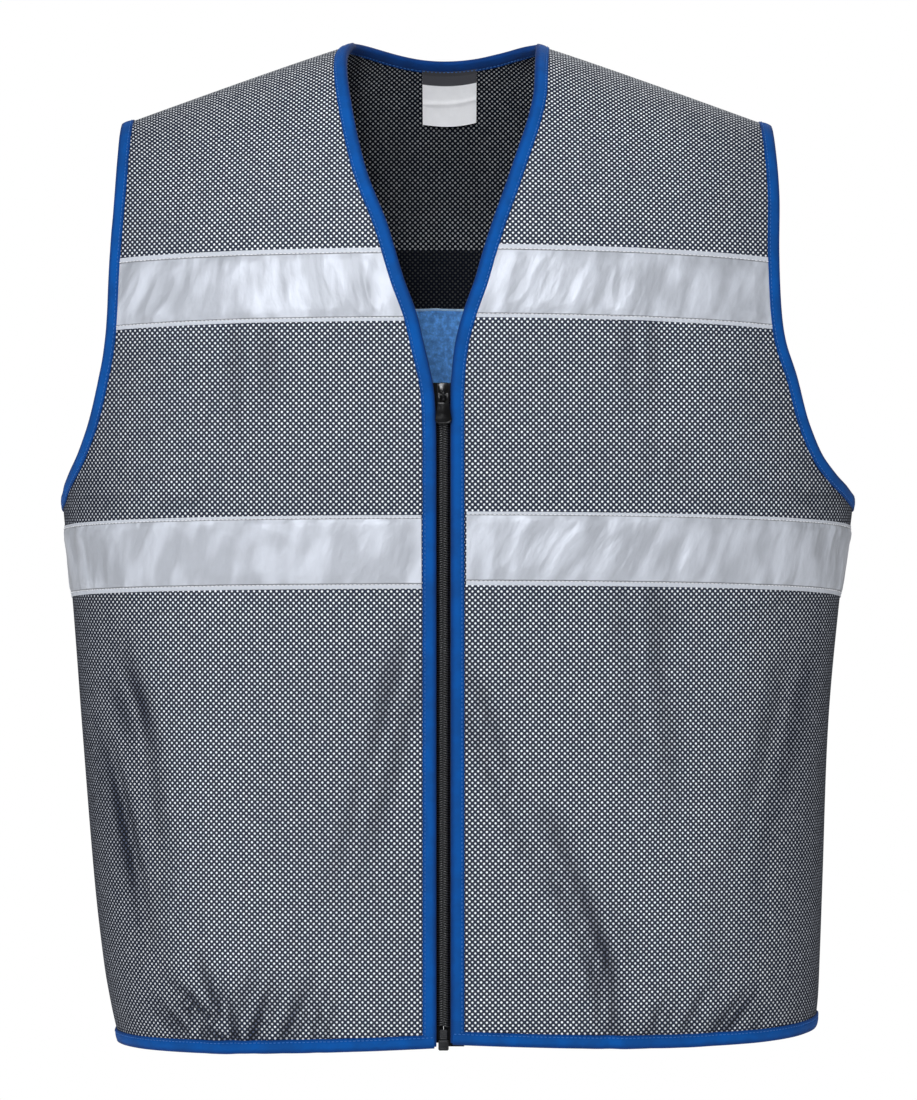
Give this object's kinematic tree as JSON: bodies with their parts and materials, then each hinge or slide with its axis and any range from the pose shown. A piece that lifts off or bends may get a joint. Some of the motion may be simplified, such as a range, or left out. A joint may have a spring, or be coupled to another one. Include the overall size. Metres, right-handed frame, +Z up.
{
  "type": "cooling vest",
  "caption": "Sleeveless zip-front cooling vest of open mesh with blue folded edge bindings, silver reflective tapes and an absorbent lining inside the back.",
  "frame": {"origin": "midway between the shoulder tips' lines, in the plane of the shoulder seams, at the mean height of the shoulder seams, where a body's shoulders carry the vest", "axes": "+Z up, front towards -Y, so the wearer's left is at +X"},
  "size_m": [0.5575, 0.2315, 0.7006],
  "materials": {
    "mesh": "black open mesh with white dots",
    "binding": "cobalt blue folded binding, matt",
    "reflective": "silver reflective tape, crinkled satin",
    "lining": "mottled blue absorbent felt",
    "label": "white satin",
    "zip_cloth": "black woven tape",
    "zip_coil": "black nylon coil",
    "zip_metal": "black enamel"
  },
  "bodies": {
    "vest": {"front_panel_right": "mesh", "front_panel_left": "mesh", "back_panel": "mesh", "neck_binding": "binding", "armhole_binding_right": "binding", "armhole_binding_left": "binding", "hem_binding": "binding", "chest_tape_right": "reflective", "chest_tape_left": "reflective", "waist_tape_right": "reflective", "waist_tape_left": "reflective", "back_chest_tape": "reflective", "back_waist_tape": "reflective", "cooling_lining": "lining", "neck_label": "label", "zip_tape_right": "zip_cloth", "zip_tape_left": "zip_cloth", "zip_coil_right": "zip_coil", "zip_coil_left": "zip_coil", "zip_slider": "zip_metal", "zip_box": "zip_coil", "zip_pin": "zip_coil"},
    "pull": {"zip_pull": "zip_metal"}
  },
  "joints": [
    {"name": "pull_swing", "type": "hinge", "parent": "vest", "child": "pull", "pos_m": [0, -0.12358, -0.2229], "axis": [-1, 0, 0], "range_deg": [0, 165]}
  ]
}
